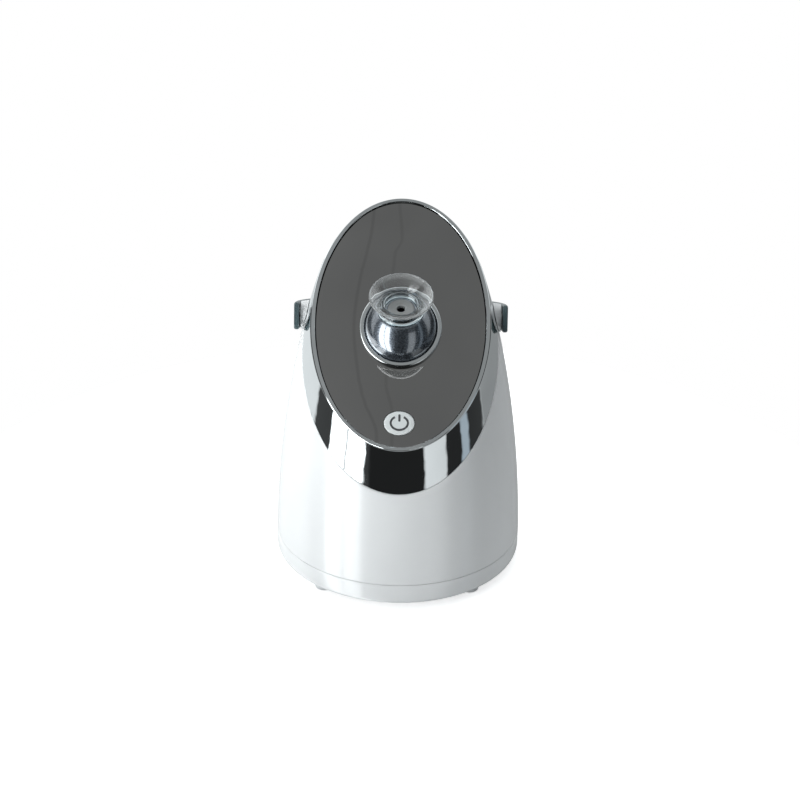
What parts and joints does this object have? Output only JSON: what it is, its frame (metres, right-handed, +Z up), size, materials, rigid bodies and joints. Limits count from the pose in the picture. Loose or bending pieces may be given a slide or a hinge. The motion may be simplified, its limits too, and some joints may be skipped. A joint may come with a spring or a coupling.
{
  "type": "facial steamer",
  "caption": "Facial steamer: tapering round body with a slanted mirror face, swivelling ball nozzle with clear cup, power button, rear water tank and bail handle.",
  "frame": {"origin": "centre of the footprint on the surface the feet stand on", "axes": "+Z up; the mirror face and the user are towards -Y; the tank and power inlet are towards +Y"},
  "size_m": [0.1602, 0.1609, 0.2315],
  "materials": {
    "white": "polished white ABS",
    "chrome": "bright chrome plating",
    "mirror": "smoked mirror acrylic",
    "button": "satin light grey",
    "ball": "gunmetal flake lacquer",
    "insert": "satin grey",
    "clear": "clear polished acrylic",
    "tank": "clear tinted plastic",
    "grip": "dark grey, satin",
    "rubber": "matt",
    "silicone": "translucent matt",
    "black": "moulded black",
    "steel": "plain",
    "alloy": "as cast",
    "board": "green solder mask",
    "brass": "plain"
  },
  "bodies": {
    "housing": {"outer_shell": "white", "chrome_head_shell": "chrome", "front_panel": "mirror", "panel_carrier": "black", "base_pan": "white", "foot_front_left": "rubber", "foot_front_right": "rubber", "foot_rear_left": "rubber", "foot_rear_right": "rubber", "base_screw_front_left": "steel", "base_screw_front_right": "steel", "base_screw_rear_left": "steel", "base_screw_rear_right": "steel", "nozzle_collar": "chrome", "ball_socket": "black", "ball_seal": "silicone", "tact_switch": "black", "switch_board": "board", "pivot_pin_left": "steel", "pivot_washer_left": "white", "inlet_pin_left": "brass", "pivot_pin_right": "steel", "pivot_washer_right": "white", "inlet_pin_right": "brass", "tank_bay": "black", "tank_dock": "black", "dock_seal": "silicone", "boiler_pot": "alloy", "boiler_gasket": "silicone", "boiler_lid": "black", "level_probe": "steel", "heater_plate": "alloy", "thermal_cutout": "steel", "steam_hose": "silicone", "feed_tube": "silicone", "main_board": "board", "board_standoff_front_left": "brass", "board_standoff_front_right": "brass", "board_standoff_rear_left": "brass", "board_standoff_rear_right": "brass", "ion_generator": "black", "ion_needle": "steel", "power_inlet": "black"},
    "power_button": {"power_button": "button", "button_stem": "black"},
    "swivel": {"swivel_ring": "steel"},
    "nozzle": {"nozzle_ball": "ball", "outlet_insert": "insert"},
    "cup": {"diffuser_cup": "clear"},
    "handle": {"handle": "grip", "pivot_cap_left": "grip", "pivot_cap_right": "grip"},
    "tank": {"water_tank": "tank", "tank_grip": "tank"},
    "tank_cap": {"tank_cap": "silicone"},
    "tank_valve": {"tank_valve": "silicone"}
  },
  "joints": [
    {"name": "button_press", "type": "slide", "parent": "housing", "child": "power_button", "axis": [0, 0.7547, -0.6561], "range_m": [0, 0.001], "stiffness_N_per_m": 600},
    {"name": "nozzle_swivel", "type": "hinge", "parent": "housing", "child": "swivel", "pos_m": [0, -0.01735, 0.16448], "axis": [0, -0.7547, 0.6561], "continuous": true},
    {"name": "nozzle_tilt", "type": "hinge", "parent": "swivel", "child": "nozzle", "pos_m": [0, -0.01735, 0.16448], "axis": [1, 0, 0], "range_deg": [-10, 60]},
    {"name": "cup_pull", "type": "slide", "parent": "nozzle", "child": "cup", "axis": [0, -0.4067, 0.9135], "range_m": [0, 0.02]},
    {"name": "handle_swing", "type": "hinge", "parent": "housing", "child": "handle", "pos_m": [0, 0.0025, 0.165], "axis": [1, 0, 0], "range_deg": [0, 115]},
    {"name": "tank_slide", "type": "slide", "parent": "housing", "child": "tank", "axis": [0, 1, 0], "range_m": [0, 0.07]},
    {"name": "tank_cap_lift", "type": "slide", "parent": "tank", "child": "tank_cap", "axis": [0, 0, 1], "range_m": [0, 0.01]},
    {"name": "tank_valve_push", "type": "slide", "parent": "tank", "child": "tank_valve", "axis": [0, 1, 0], "range_m": [0, 0.002], "stiffness_N_per_m": 200}
  ]
}
